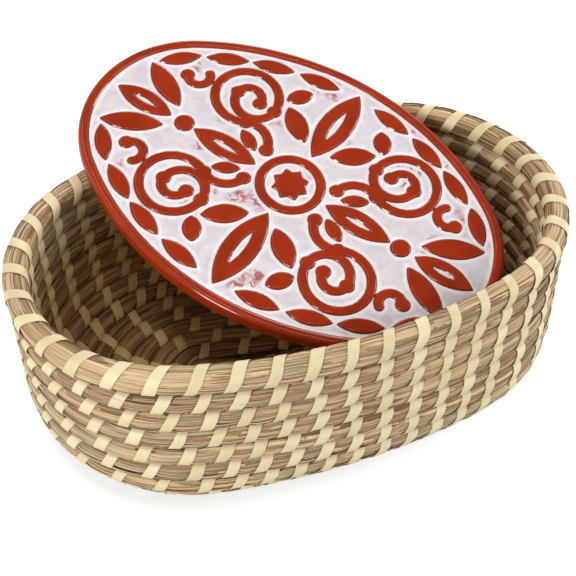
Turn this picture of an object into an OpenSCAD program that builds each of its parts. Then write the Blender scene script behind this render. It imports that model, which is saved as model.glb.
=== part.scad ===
// Oval bread basket, coiled from seagrass and sewn with leaf strips, with a loose terracotta warming tile.
// Lengths are in millimetres and angles in degrees. +Z is up, +X is along the basket, and -Y is its front.
// The origin is the middle of the base's underside, where the basket stands.

/* [Seagrass coil] */
// Length of the straight core that the first round is folded along
core_l = 105; // [80:1:140]
// Thickness of the seagrass bundle in the base and the wall
bundle_d = 10; // [8:0.1:12]
// Thickness of the bundle on the rim
rim_d = 12.4; // [10:0.1:15]
// Rounds that lie flat in the base
base_rounds = 6; // [5:1:8]
// Rounds in the corner and the wall, below the rim
wall_rounds = 8; // [6:1:10]
// Bend of the bundle's middle line where the base turns up into the wall
corner_r = 28.5; // [20:0.5:45]
// Lean of the wall inwards
wall_lean = 2.3; // [0:0.1:6]
// How far the radius of the rim's end arcs falls short of its half width
end_flat = 10; // [4:0.5:14]
// Depth to which the underside of the base is worn flat
base_flat = 1; // [0.5:0.1:1.5]

/* [Stitching] */
// Width of a leaf strip
strip_w = 7; // [5:0.1:9]
// Thickness of a leaf strip
strip_t = 0.4; // [0.3:0.05:0.6]
// Room between a strip and the bundle inside it
strip_clear = 0.1; // [0.05:0.05:0.2]
// Room between the strips of two rounds
strip_room = 1.2; // [1:0.1:2.5]
// Slant of the strips of the wall and the rim away from square
strip_slant = 24; // [0:1:26]
// Slant of the strips of the base
base_slant = 15; // [0:1:20]
// Run of the bundle from one stitch to the next in the base
base_stitch_step = 24; // [20:1:40]
// Stitches by which a column moves on round the wall between the base and the rim
column_shift = -1; // [-4:1:4]

/* [Warming tile] */
// Length of the tile
tile_l = 254; // [220:1:262]
// Width of the tile
tile_w = 174; // [150:1:176]
// Radius of the tile's end arcs
tile_end_r = 68; // [50:1:72]
// Thickness of the tile at its border
tile_t = 8.5; // [7:0.1:12]
// Width of the raised border
border_w = 6.5; // [4:0.1:9]
// Depth of the field below the top of the border
field_d = 2.4; // [1.4:0.1:3]
// Height of the raised ornament above the field
relief_h = 2; // [1.2:0.1:2.6]
// Thickness of the white glaze that lies in the field
glaze_t = 0.8; // [0.4:0.1:1]
// Width of the ornament's scroll lines
line_w = 5; // [3:0.1:5.5]

/* [Tile leaning on the rim] */
// Tilt of the tile, which rests on the back rim
tile_tilt = 17.3; // [8:0.1:24]
// Turn of the tile in its own plane
tile_turn = -51.5; // [-70:0.5:-40]
// Place of the tile's middle along the basket
tile_x = 10.6; // [0:0.1:20]
// Room between the tile and the rim that it lies on
tile_clear = 0.3; // [0.2:0.05:0.6]
// Room between the low edge of the tile and the inside of the front rim
low_room = 5; // [0.5:0.5:8]

/* [Hidden] */
$fn = 96;

bundle_r = bundle_d / 2;
rim_r = rim_d / 2;
round_gap = 2 * (strip_clear + strip_t) + strip_room;
pitch = bundle_d + round_gap;
rim_pitch = bundle_r + rim_r + round_gap;
rounds = base_rounds + wall_rounds + 1;
tube_sides = 8;
flat_angle = 180 / tube_sides;

// Steps of one round: half the back, the left end, the front, the right end and half the back
end_steps = 11;
side_steps = 10;
round_steps = 2 * (end_steps + side_steps);
climb_steps = side_steps / 2;
wall_start = base_rounds * round_steps;
rim_start = (rounds - 1) * round_steps;
coil_end = rounds * round_steps;

// Profile of the coil's middle line, from the core out along the base and up the wall
core_half_w = pitch / 2;
base_half_w = core_half_w + (base_rounds - 1) * pitch;
base_z = bundle_r * cos(flat_angle) - base_flat;
corner_angle = 90 + wall_lean;
corner_run = corner_r * corner_angle * PI / 180;

function rise(run) =
    run <= 0 ? [0, 0]
    : run < corner_run ? let (turn = run / corner_r * 180 / PI) corner_r * [sin(turn), 1 - cos(turn)]
    : corner_r * [sin(corner_angle), 1 - cos(corner_angle)]
      + (run - corner_run) * [cos(corner_angle), sin(corner_angle)];

// Half width and height of a round; the rim is a wider step above the last round of the wall
function round_run(level) =
    (min(level, rounds - 2) - base_rounds + 1) * pitch + max(0, level - rounds + 2) * rim_pitch;
function half_w(level) =
    level < base_rounds - 1 ? core_half_w + level * pitch : base_half_w + rise(round_run(level))[0];
function height(level) = base_z + rise(round_run(level))[1];

// An oval of four arcs, given as its half length, its half width and the radius of its ends
function oval_x(oval) = oval[0] - oval[2];
function oval_r(oval) = (oval_x(oval) ^ 2 + oval[1] ^ 2 - oval[2] ^ 2) / (2 * (oval[1] - oval[2]));
function oval_drop(oval) = oval_r(oval) - oval[1];
function oval_joint(oval) = atan2(oval_drop(oval), oval_x(oval));
function oval_joint_x(oval) = oval_r(oval) * cos(oval_joint(oval));
function oval_inset(oval, inset) = oval - inset * [1, 1, 1];
function oval_point(oval, angle) =
    let (unit = [cos(angle), sin(angle)])
    abs(unit[1]) > sin(oval_joint(oval)) ? oval_r(oval) * unit - [0, sign(unit[1]) * oval_drop(oval)]
    : oval[2] * unit + [sign(unit[0]) * oval_x(oval), 0];
function oval_y(oval, x) =
    abs(x) < oval_joint_x(oval) ? sqrt(oval_r(oval) ^ 2 - x ^ 2) - oval_drop(oval)
    : sqrt(max(0, oval[2] ^ 2 - (abs(x) - oval_x(oval)) ^ 2));
function in_oval(oval, point) = abs(point[0]) < oval[0] && abs(point[1]) < oval_y(oval, point[0]);

// The coil keeps level for most of a round and climbs to the next one at the back left.
// It starts and ends thin: at the start under the first climb, and at the end over the last one.
tail_rings = 4;
tail_end = 0.64;
function climb(step) = min(1, (step % round_steps) / climb_steps);
function head(step) = max(0, 1 - step / climb_steps);
function tail(step) = max(0, step - coil_end) / climb_steps;
function level(step) =
    step < round_steps ? -head(step) / 2
    : step > coil_end ? rounds - 1
    : floor(step / round_steps) - 1 + climb(step);
function round_oval(level) =
    let (half = half_w(level)) [half + core_l / 2, half, half - end_flat * (level + 1) / rounds];
function step_angle(step, joint) =
    lookup(step % round_steps, [
        [0, 90],
        [side_steps / 2, 180 - joint],
        [side_steps / 2 + end_steps, 180 + joint],
        [side_steps * 3 / 2 + end_steps, 360 - joint],
        [side_steps * 3 / 2 + end_steps * 2, 360 + joint],
        [round_steps, 450]
    ]);

function coil_r(step) =
    step < rim_start ? bundle_r - head(step) * pitch / 2
    : step < coil_end ? bundle_r + (rim_r - bundle_r) * climb(step)
    : rim_r - tail(step) * (rim_pitch + rim_r - bundle_r) / 2;
function coil_z(step) =
    step < climb_steps ? base_z - (bundle_r - coil_r(step)) * cos(flat_angle)
    : height(level(step)) + (step < coil_end ? 0 : rim_r - coil_r(step));
function coil_angle(step) = step_angle(step, oval_joint(round_oval(level(step))));
function coil_point(step) =
    let (flat = oval_point(round_oval(level(step)), coil_angle(step)))
    [flat[0], flat[1], coil_z(step)];

// Steps at which the bundle has a ring; in the wall the columns of stitches drift round
wall_rings = wall_rounds * round_steps - column_shift;
base_steps = [for (i = [climb_steps : wall_start]) i];
wall_steps = [for (i = [0 : wall_rings]) wall_start + i * (rim_start - wall_start) / wall_rings];
rim_steps = [for (i = [rim_start : coil_end]) i];
head_steps = [for (i = [tail_rings : -1 : 1]) climb_steps * (1 - i * tail_end / tail_rings)];
tail_steps = [for (i = [1 : tail_rings]) coil_end + climb_steps * i * tail_end / tail_rings];

// Least gap between neighbouring rounds, measured on points at every half step
function round_space(step, on) =
    norm(coil_point(step) - coil_point(step + on)) - coil_r(step) - coil_r(step + on);
least_gap = min([
    for (step = [climb_steps : 0.5 : coil_end - round_steps - 1])
        for (on = [round_steps - 1 : 0.5 : round_steps + 1])
            round_space(step, on)
]);
echo("least gap between rounds of the coil, mm", least_gap);

// One unbroken tube through the rings at the given steps, flat where it would pass below the floor
function ring(step) =
    let (middle = coil_point(step), angle = coil_angle(step), r = coil_r(step))
    [
        for (side = [0 : tube_sides - 1])
            let (turn = flat_angle + side * 360 / tube_sides, out = r * cos(turn))
            [middle[0] + out * cos(angle), middle[1] + out * sin(angle), max(0, middle[2] + r * sin(turn))]
    ];
function tube_faces(rings) = concat(
    [for (side = [1 : tube_sides - 2]) [0, side, side + 1]],
    [for (side = [1 : tube_sides - 2]) (rings - 1) * tube_sides * [1, 1, 1] + [0, side + 1, side]],
    [
        for (i = [0 : rings - 2])
            for (side = [0 : tube_sides - 1])
                let (here = i * tube_sides, on = here + tube_sides, beside = (side + 1) % tube_sides)
                each [[here + side, on + side, on + beside], [here + side, on + beside, here + beside]]
    ]
);
module coil_tube(steps) {
    polyhedron(points = [for (step = steps) each ring(step)], faces = tube_faces(len(steps)), convexity = 10);
}

// Stitches, each a slanted strip once round the bundle, at the middle of a straight stretch
strip_lift = 0.2;
function strip_reach(slant) = strip_w / cos(slant) + (bundle_d + 2 * strip_clear + 2 * strip_t) * tan(slant);
function stretch(steps, i) = norm(coil_point(steps[i + 1]) - coil_point(steps[i]));
function round_of(steps, i) = floor((steps[i] + steps[i + 1]) / 2 / round_steps);
function run_to(steps, i) = i == 0 ? 0 : run_to(steps, i - 1) + stretch(steps, i - 1);
function on_step(from, to) = floor(from / base_stitch_step) < floor(to / base_stitch_step);

module stitch(steps, i, slant) {
    from = coil_point(steps[i]);
    to = coil_point(steps[i + 1]);
    along = (to - from) / norm(to - from);
    across = cross(along, [0, 0, 1]) / norm(cross(along, [0, 0, 1]));
    up = cross(across, along);
    middle = (from + to) / 2;
    inner_r = max(coil_r(steps[i]), coil_r(steps[i + 1])) + strip_clear;
    outer_d = 2 * (inner_r + strip_t);
    difference() {
        multmatrix([for (axis = [0 : 2]) [along[axis], across[axis], up[axis], middle[axis]]])
            difference() {
                intersection() {
                    rotate([0, 90, 0]) cylinder(h = 2 * strip_reach(slant), d = outer_d, center = true);
                    rotate([0, slant, 0]) cube([strip_w, 2 * outer_d, 2 * outer_d], center = true);
                }
                rotate([0, 90, 0]) cylinder(h = 3 * strip_reach(slant), r = inner_r, center = true);
            }
        if (middle[2] - outer_d / 2 < strip_lift)
            translate(middle - [outer_d, outer_d, middle[2] + outer_d])
                cube([2 * outer_d, 2 * outer_d, outer_d + strip_lift]);
    }
}

// Warming tile in its own frame: the middle of the underside at the origin, and its length along X
tile_oval = [tile_l / 2, tile_w / 2, tile_end_r];
field_oval = oval_inset(tile_oval, border_w);
field_z = tile_t - field_d;
relief_root = 0.5;

module oval_plate(oval, h) {
    joint_x = oval_joint_x(oval);
    for (side = [-1, 1]) translate([side * oval_x(oval), 0, 0]) cylinder(h = h, r = oval[2]);
    intersection() {
        translate([0, -oval_drop(oval), 0]) cylinder(h = h, r = oval_r(oval));
        translate([0, oval_drop(oval), 0]) cylinder(h = h, r = oval_r(oval));
        translate([-joint_x, -oval[1], 0]) cube([2 * joint_x, 2 * oval[1], h]);
    }
}

module dished_plate() {
    difference() {
        oval_plate(tile_oval, tile_t);
        translate([0, 0, field_z]) oval_plate(field_oval, tile_t);
    }
}

// Ornament of scrolls, leaves and a star, alike in the four quarters of the field
field_l = field_oval[0];
field_w = field_oval[1];
bead_r = line_w * 0.8;
medal_r = 17;
star_w = 15;
bud_at = medal_r + 6;
bud_l = 41;
crest_at = medal_r + 6;
palm_at = field_l - 50;
palm_dot_r = 5.5;
scroll_at = [field_l - 68, field_w - 43.5];
scroll_turns = [18.5, 12.3, 7.4];
scroll_root = 240;
scroll_leaf_r = scroll_turns[0] + line_w * 0.92;
hook_at = [field_l - 37.5, field_w - 47.5];
hook_r = 6.5;

// Leaves of the first quarter, each with its foot, direction, length and width
leaves = [
    [[bud_at + 5, 7.6], 30, 16, 7.5],
    [[8.5, crest_at + 6], 38, 26, 12],
    [[palm_at + 9, 8], 29, 35, 12.5],
    [scroll_at + scroll_leaf_r * [cos(150), sin(150)], 126, 16, 10]
];

// Leaves of the wreath that follows the border, at these directions of the oval
wreath = [81, 70.5, 60.5, 43];
wreath_in = 7;
wreath_l = 25;
wreath_w = 8.8;

module leaf(foot, turn, l, w, h) {
    r = (l ^ 2 + w ^ 2) / (4 * w);
    translate(foot) rotate(turn) translate([l / 2, 0, 0])
        intersection() {
            translate([0, r - w / 2, 0]) cylinder(h = h, r = r);
            translate([0, w / 2 - r, 0]) cylinder(h = h, r = r);
        }
}

module veined_leaf(foot, turn, l, w, h) {
    difference() {
        leaf(foot, turn, l, w, h);
        translate([0, 0, -h / 2]) leaf(foot + l / 4 * [cos(turn), sin(turn)], turn, l / 2, w / 4, 2 * h);
    }
}

module wreath_leaf(angle, h) {
    middle = oval_point(oval_inset(field_oval, wreath_in), angle);
    leaf(middle - wreath_l / 2 * [sin(angle), -cos(angle)], angle - 90, wreath_l, wreath_w, h);
}

module bead(at, h) {
    translate(at) cylinder(h = h, r = bead_r);
}

// An arc of line that ends in a bead
module scroll(at, r, from, to, h) {
    short = bead_r / 2 / r * 180 / PI;
    translate(at) rotate_extrude(start = from + short, angle = to - from - 2 * short)
        translate([r - line_w / 2, 0]) square([line_w, h]);
    bead(at + r * [cos(to), sin(to)], h);
}

module medal(h) {
    difference() {
        cylinder(h = h, r = medal_r + line_w / 2);
        translate([0, 0, -h / 2]) cylinder(h = 2 * h, r = medal_r - line_w / 2);
    }
    for (turn = [0, 45]) rotate(turn) translate(-star_w / 2 * [1, 1, 0]) cube([star_w, star_w, h]);
}

// A spiral of three arcs, and a stem that curves the other way to the medal
module volute(h) {
    second = scroll_at - [scroll_turns[0] - scroll_turns[1], 0];
    third = second + [scroll_turns[1] - scroll_turns[2], 0];
    stem_r = scroll_turns[0] - line_w;
    root = [cos(scroll_root), sin(scroll_root)];
    stem_at = scroll_at + (scroll_turns[0] + stem_r) * root;
    scroll(scroll_at, scroll_turns[0], scroll_root - 360, 180, h);
    scroll(second, scroll_turns[1], 180, 360, h);
    scroll(third, scroll_turns[2], 0, 180, h);
    scroll(stem_at, stem_r, scroll_root - 180, scroll_root - 70, h);
    bead(scroll_at + scroll_turns[0] * root, h);
}

module quarter(h) {
    volute(h);
    scroll(hook_at, hook_r, 130, 330, h);
    for (each_leaf = leaves) leaf(each_leaf[0], each_leaf[1], each_leaf[2], each_leaf[3], h);
    for (angle = wreath) wreath_leaf(angle, h);
}

module ornament(h) {
    medal(h);
    for (side = [0, 180]) rotate(side) {
        veined_leaf([bud_at, 0], 0, bud_l, 15, h);
        translate([palm_at, 0, 0]) cylinder(h = h, r = palm_dot_r);
        veined_leaf([palm_at + 9, 0], 0, field_l - palm_at - 14, 14, h);
        veined_leaf([0, crest_at], 90, field_w - crest_at - 4, 19, h);
    }
    for (flip = [[0, 0], [0, 1], [1, 0], [1, 1]])
        mirror([flip[0], 0, 0]) mirror([0, flip[1], 0]) quarter(h);
}

// Leaning place: the low edge lies inside the front rim, and the underside on the stitches of the back rim
rim_oval = round_oval(rounds - 1);
rim_strip_r = rim_r + strip_clear + strip_t;
rim_sag = rim_oval[2] * (1 - cos(oval_joint(rim_oval) / end_steps));
rim_inner = oval_inset(rim_oval, rim_strip_r + rim_sag);

tile_y = low_room + max([
    for (angle = [0 : 2 : 358])
        let (edge = oval_point(tile_oval, angle))
        let (x = tile_x + edge[0] * cos(tile_turn) - edge[1] * sin(tile_turn))
        let (y = (edge[0] * sin(tile_turn) + edge[1] * cos(tile_turn)) * cos(tile_tilt) - tile_t * sin(tile_tilt))
        if (y < 0) -oval_y(rim_inner, x) - y
]);
function on_tile(point) =
    let (x = point[0] - tile_x, y = (point[1] - tile_y) / cos(tile_tilt))
    [x * cos(tile_turn) + y * sin(tile_turn), y * cos(tile_turn) - x * sin(tile_turn)];
tile_z = max([
    for (step = [rim_start : 0.1 : coil_end])
        let (point = coil_point(step))
        if (point[1] > 0 && in_oval(oval_inset(tile_oval, -rim_strip_r * sin(tile_tilt)), on_tile(point)))
            point[2] - tan(tile_tilt) * (point[1] - tile_y) + (rim_strip_r + tile_clear) / cos(tile_tilt)
]);

module on_rim() {
    translate([tile_x, tile_y, tile_z]) rotate([tile_tilt, 0, 0]) rotate(tile_turn) children();
}

module base_coil() {
    color("#8f7a4e") coil_tube(concat(head_steps, base_steps));
}

module wall_coil() {
    color("#a8946a") coil_tube(wall_steps);
}

module rim_coil() {
    color("#b39f74") coil_tube(concat(rim_steps, tail_steps));
}

module base_stitches(k) {
    color("#d8c796")
        for (i = [0 : len(base_steps) - 2])
            if (round_of(base_steps, i) == k - 1 && stretch(base_steps, i) > strip_reach(base_slant))
                if (on_step(run_to(base_steps, i), run_to(base_steps, i + 1)))
                    stitch(base_steps, i, base_slant);
}

module wall_stitches(k) {
    color("#e2d3a2")
        for (i = [0 : len(wall_steps) - 2])
            if (round_of(wall_steps, i) == base_rounds + k - 1)
                stitch(wall_steps, i, strip_slant);
}

module rim_stitches() {
    color("#e6d8aa")
        for (i = [0 : len(rim_steps) - 2])
            stitch(rim_steps, i, strip_slant);
}

module warming_tile() {
    color("#a83a1c")
        on_rim() {
            dished_plate();
            translate([0, 0, field_z - relief_root]) ornament(relief_h + relief_root);
        }
}

module tile_glaze() {
    color("#e4dfe2")
        on_rim()
            translate([0, 0, field_z])
                difference() {
                    oval_plate(field_oval, glaze_t);
                    translate([0, 0, -relief_root]) ornament(relief_h + relief_root);
                }
}

base_coil();
wall_coil();
rim_coil();
for (k = [1 : base_rounds])
    base_stitches(k);
for (k = [1 : wall_rounds])
    wall_stitches(k);
rim_stitches();
warming_tile();
tile_glaze();
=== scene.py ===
"""Looks of an oval bread warmer basket: a coil of seagrass sewn with leaf strips, and a loose glazed tile."""

import logging
import math
from dataclasses import dataclass, field
from enum import Enum

import bpy
import numpy as np
from mathutils import Matrix, Vector


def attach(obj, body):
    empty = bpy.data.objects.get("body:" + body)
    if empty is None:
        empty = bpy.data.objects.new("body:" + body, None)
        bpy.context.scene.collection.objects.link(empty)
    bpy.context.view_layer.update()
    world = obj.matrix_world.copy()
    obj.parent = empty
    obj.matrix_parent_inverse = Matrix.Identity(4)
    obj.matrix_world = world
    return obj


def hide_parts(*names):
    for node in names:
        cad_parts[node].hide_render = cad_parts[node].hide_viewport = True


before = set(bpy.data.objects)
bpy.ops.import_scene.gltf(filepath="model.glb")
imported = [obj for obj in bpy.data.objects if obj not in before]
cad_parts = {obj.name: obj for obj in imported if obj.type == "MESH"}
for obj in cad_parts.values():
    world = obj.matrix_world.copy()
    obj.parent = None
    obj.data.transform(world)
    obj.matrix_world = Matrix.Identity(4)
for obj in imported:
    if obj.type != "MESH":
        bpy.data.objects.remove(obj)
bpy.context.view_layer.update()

logging.basicConfig(level=logging.INFO, format="%(message)s")
log = logging.getLogger("bread_basket")

Pair = tuple[float, float]
Place = tuple[float, float, float]
Colour = tuple[float, float, float]
Ends = tuple[float, float, float, float]
Strand = tuple[float, float, float, float]
Leaf = tuple[Pair, float, float, float]
Arc = tuple[Pair, float, float, float]
Stops = tuple[tuple[float, Colour], ...]
Array = np.ndarray
Growth = tuple[Array | float, Array | float]
Inputs = dict[str | int, object]
Random = np.random.Generator
Socket = bpy.types.NodeSocket
Material = bpy.types.Material
Object = bpy.types.Object

MM = 0.001
FULL_TURN = 2 * math.pi
ANY_PHASE = 6.28
WHITE: Colour = (1.0, 1.0, 1.0)


class Slot(Enum):
    """Names of the material slots."""

    SEAGRASS = "seagrass"
    LEAF_STRIP = "leaf_strip"
    TERRACOTTA = "terracotta"
    WHITE_GLAZE = "white_glaze"


class Body(Enum):
    """The two parts that move apart."""

    BASKET = "basket"
    TILE = "tile"


class Graph:
    """A node tree that is filled node by node."""

    def __init__(self, tree: bpy.types.NodeTree) -> None:
        """Starts on a cleared tree."""
        self.tree = tree
        tree.nodes.clear()

    def feed(self, node: bpy.types.Node, inputs: Inputs) -> None:
        """Sets or links the inputs of a node.

        Args:
            node: the node to feed.
            inputs: socket name or place to a plain value or to the socket that feeds it.
        """
        for key, value in inputs.items():
            socket = node.inputs[key]
            if isinstance(value, Socket):
                self.tree.links.new(value, socket)
            else:
                socket.default_value = (*value, 1.0) if socket.type == "RGBA" else value

    def add(self, kind: str, inputs: Inputs | None = None, **settings: object) -> bpy.types.Node:
        """Adds one node.

        Args:
            kind: the node's type name.
            inputs: what feeds it, as in feed.
            settings: properties of the node.

        Returns:
            The new node.
        """
        node = self.tree.nodes.new(kind)
        for name, value in settings.items():
            setattr(node, name, value)
        self.feed(node, inputs or {})
        return node

    def maths(self, operation: str, *values: object) -> Socket:
        """Adds a math node for shaders and returns its result."""
        return self.add("ShaderNodeMath", dict(enumerate(values)), operation=operation).outputs[0]

    def mapped(self, value: Socket, ends: Ends) -> Socket:
        """Carries one range over to another: low and high of the first, then of the second."""
        names = ("From Min", "From Max", "To Min", "To Max")
        return self.add("ShaderNodeMapRange", {"Value": value, **dict(zip(names, ends))}).outputs[0]

    def noise(self, where: Socket, detail: float, scale: float = 1.0, **more: float) -> Socket:
        """Adds a noise and returns its factor."""
        inputs = {"Vector": where, "Scale": scale, "Detail": detail, **more}
        return self.add("ShaderNodeTexNoise", inputs).outputs["Fac"]

    def stretched(self, parts: list[Socket], scale: Place) -> Socket:
        """Joins three numbers to a vector, each times its own scale."""
        scaled = {axis: self.maths("MULTIPLY", part, size) for axis, part, size in zip("XYZ", parts, scale)}
        return self.add("ShaderNodeCombineXYZ", scaled).outputs[0]

    def mixed(self, share: Socket, first: Socket, second: Colour, blend: str = "MIX") -> Socket:
        """Mixes a fixed colour into another one."""
        inputs = {"Factor": share, 6: first, 7: second}
        return self.add("ShaderNodeMix", inputs, data_type="RGBA", blend_type=blend).outputs[2]

    def attribute(self, name: str, output: str = "Fac") -> Socket:
        """Reads a value that the mesh holds."""
        return self.add("ShaderNodeAttribute", attribute_name=name).outputs[output]

    def grain(self) -> list[Socket]:
        """Way along a strand, place across it and shade of it, as the sweep stored them."""
        return list(self.add("ShaderNodeSeparateXYZ", {"Vector": self.attribute("grain", "Vector")}).outputs)

    def place(self, space: str = "Object") -> Socket:
        """Reads the place on the piece."""
        return self.add("ShaderNodeTexCoord").outputs[space]

    def bump(self, height: Socket, strength: float, distance: float) -> Socket:
        """Bends the normal along a height."""
        inputs = {"Height": height, "Strength": strength, "Distance": distance}
        return self.add("ShaderNodeBump", inputs).outputs[0]

    def ramp(self, factor: Socket, stops: Stops) -> Socket:
        """Adds a colour ramp.

        Args:
            factor: what picks the place on the ramp.
            stops: places and colours, in order.

        Returns:
            The colour socket.
        """
        node = self.add("ShaderNodeValToRGB", {"Fac": factor})
        elements = node.color_ramp.elements
        while len(elements) < len(stops):
            elements.new(1.0)
        for element, (place, colour) in zip(elements, stops):
            element.position = place
            element.color = (*colour, 1.0)
        return node.outputs["Color"]


def material(name: str) -> tuple[Material, Graph, bpy.types.Node]:
    """Makes a material with one shader.

    Args:
        name: the material's name.

    Returns:
        The material, its graph and its shader node.
    """
    made = bpy.data.materials.new(name)
    made.use_nodes = True
    graph = Graph(made.node_tree)
    shader = graph.add("ShaderNodeBsdfPrincipled")
    graph.add("ShaderNodeOutputMaterial", {"Surface": shader.outputs[0]})
    return made, graph, shader


@dataclass(frozen=True)
class GrassFinish:
    """Dried seagrass blades in straw, grey-green and brown.

    A scale belongs to the way along a blade, the place across it and its shade.
    """

    stops: Stops = (
        (0.0, (0.17, 0.091, 0.036)),
        (0.16, (0.35, 0.214, 0.104)),
        (0.30, (0.51, 0.345, 0.190)),
        (0.45, (0.61, 0.427, 0.235)),
        (0.58, (0.57, 0.390, 0.230)),
        (0.72, (0.64, 0.475, 0.268)),
        (0.86, (0.44, 0.355, 0.215)),
        (1.0, (0.33, 0.262, 0.145)),
    )
    streak: Colour = (0.14, 0.070, 0.025)
    # painted warm bounce light and shade: blades that face into the basket are browner, partly grass that is
    # less bleached there
    inner: Colour = (1.0, 0.83, 0.57)
    line_scale: Place = (16.0, 3.1, 173.0)
    gap_scale: Place = (21.0, 1.7, 311.0)
    patch_scale: Place = (14.0, 0.8, 91.0)
    dark_lines: Ends = (0.53, 0.64, 0.0, 0.85)
    dark_gaps: Ends = (0.6, 0.64, 0.0, 0.8)
    ridge: Ends = (0.34, 0.6, 1.24, 0.78)
    lift: Ends = (0.3, 0.7, 0.74, 1.2)

    def make(self) -> Material:
        """Blade colour by strand, with dark lines and gaps along it, browner inside the basket, partly as
        grass that is less bleached there and partly as painted warm bounce light and shade.

        Returns:
            The material.
        """
        made, graph, shader = material("seagrass_blades")
        grain = graph.grain()
        lines = graph.noise(graph.stretched(grain, self.line_scale), 3.0, Roughness=0.65)
        gaps = graph.noise(graph.stretched(grain, self.gap_scale), 1.0)
        patches = graph.noise(graph.stretched(grain, self.patch_scale), 2.0)
        thin, broad = graph.mapped(lines, self.dark_lines), graph.mapped(gaps, self.dark_gaps)
        dark = graph.maths("MAXIMUM", thin, broad)
        streaked = graph.mixed(dark, graph.ramp(grain[2], self.stops), self.streak)
        level = graph.maths("MULTIPLY", graph.mapped(patches, self.lift), graph.mapped(lines, self.ridge))
        lit = graph.add("ShaderNodeVectorMath", {0: streaked, "Scale": level}, operation="SCALE").outputs[0]
        graph.feed(shader, {
            # the inner mask paints warm bounce light and shade inside the basket
            "Base Color": graph.mixed(graph.attribute("inner"), lit, self.inner, "MULTIPLY"),
            "Normal": graph.bump(lines, 0.6, 0.7 * MM),
            "Roughness": 0.62,
            "Specular IOR Level": 0.3,
        })
        return made


@dataclass(frozen=True)
class CoreShadeFinish:
    """The dark inside of the bundle, seen only in the gaps between blades; its dark brown is painted shade.
    """

    # painted shade: a dark brown that stands for the shade deep between the blades
    colour: Colour = (0.13, 0.075, 0.035)

    def make(self) -> Material:
        """A plain matt dark brown, as painted shade.

        Returns:
            The material.
        """
        made, graph, shader = material("seagrass_core_shade")
        graph.feed(shader, {"Base Color": self.colour, "Roughness": 0.85})
        return made


@dataclass(frozen=True)
class StripFinish:
    """Split leaf, cream and satin. The scale is that of the lines, as for the grass."""

    pale: Colour = (0.76, 0.66, 0.42)
    deep: Colour = (0.64, 0.53, 0.31)
    # painted warm bounce light: strips that face into the basket are brighter and warmer, partly leaf that is
    # less bleached there
    inner: Colour = (1.15, 1.0, 0.70)
    line_scale: Place = (1.3, 9.0, 57.0)
    line_share: float = 0.8
    tone_share: float = 0.45

    def make(self) -> Material:
        """Cream that differs a little from strip to strip, with faint lines along it, brighter and warmer
        inside the basket as painted warm bounce light, partly as leaf that is less bleached there.

        Returns:
            The material.
        """
        made, graph, shader = material("leaf_strip")
        grain = graph.grain()
        lines = graph.noise(graph.stretched(grain, self.line_scale), 2.0)
        lined = graph.maths("MULTIPLY", lines, self.line_share)
        depth = graph.maths("ADD", lined, graph.maths("MULTIPLY", grain[2], self.tone_share))
        colour = graph.ramp(depth, ((0.3, self.pale), (0.9, self.deep)))
        graph.feed(shader, {
            # the inner mask paints warm bounce light inside the basket
            "Base Color": graph.mixed(graph.attribute("inner"), colour, self.inner, "MULTIPLY"),
            "Normal": graph.bump(lines, 0.12, 0.4 * MM),
            "Roughness": 0.5,
            "Specular IOR Level": 0.35,
        })
        return made


@dataclass(frozen=True)
class ClayFinish:
    """Orange-red terracotta under a clear gloss."""

    colour: Colour = (0.335, 0.027, 0.003)
    deep: Colour = (0.27, 0.020, 0.002)
    # painted shade along the foot of the relief and of the border
    foot: Colour = (0.42, 0.38, 0.40)

    def make(self) -> Material:
        """Red with faint clouding and a clear coat, darker along the foot of the relief and the inner foot of
        the border as painted shade.

        Returns:
            The material.
        """
        made, graph, shader = material("terracotta")
        clouds = graph.noise(graph.place(), 3.0, 60.0)
        colour = graph.ramp(clouds, ((0.35, self.deep), (0.65, self.colour)))
        graph.feed(shader, {
            "Base Color": graph.mixed(graph.attribute("foot"), colour, self.foot, "MULTIPLY"),
            "Roughness": 0.5,
            "Specular IOR Level": 0.0,
            "Coat Weight": 0.65,
            "Coat IOR": 1.5,
            "Coat Roughness": 0.07,
        })
        return made


@dataclass(frozen=True)
class GlazeFinish:
    """Opaque white gloss glaze, thin and greyish where it lies far from the motifs."""

    bright: Colour = (0.88, 0.83, 0.83)
    grey: Colour = (0.62, 0.57, 0.61)
    smear: Colour = (0.40, 0.07, 0.05)
    reach: Ends = (0.2, 2.6, 0.0, 0.75)
    brush_share: float = 0.9
    worn_patch: Ends = (0.585, 0.64, 0.0, 1.0)
    torn_edge: Ends = (0.42, 0.58, 0.0, 1.0)
    worn_far: Ends = (1.0, 2.2, 0.0, 0.9)

    def make(self) -> Material:
        """White along the motifs, lavender grey between them, with a few red smears.

        Returns:
            The material.
        """
        made, graph, shader = material("white_glaze")
        away, place = graph.attribute("away"), graph.place()
        brush = graph.noise(place, 3.0, 170.0, Distortion=0.8)
        stroke = graph.maths("MULTIPLY", graph.maths("SUBTRACT", brush, 0.5), self.brush_share)
        depth = graph.maths("ADD", graph.mapped(away, self.reach), stroke)
        ground = graph.ramp(depth, ((0.05, self.bright), (0.85, self.grey)))
        patch = graph.mapped(graph.noise(place, 1.0, 46.0), self.worn_patch)
        torn = graph.mapped(graph.noise(place, 3.0, 260.0, Distortion=1.2), self.torn_edge)
        far = graph.mapped(away, self.worn_far)
        share = graph.maths("MULTIPLY", graph.maths("MULTIPLY", patch, torn), far)
        graph.feed(shader, {
            "Base Color": graph.mixed(share, ground, self.smear),
            "Normal": graph.bump(brush, 0.25, 0.4 * MM),
            "Roughness": 0.16,
        })
        return made


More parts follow.
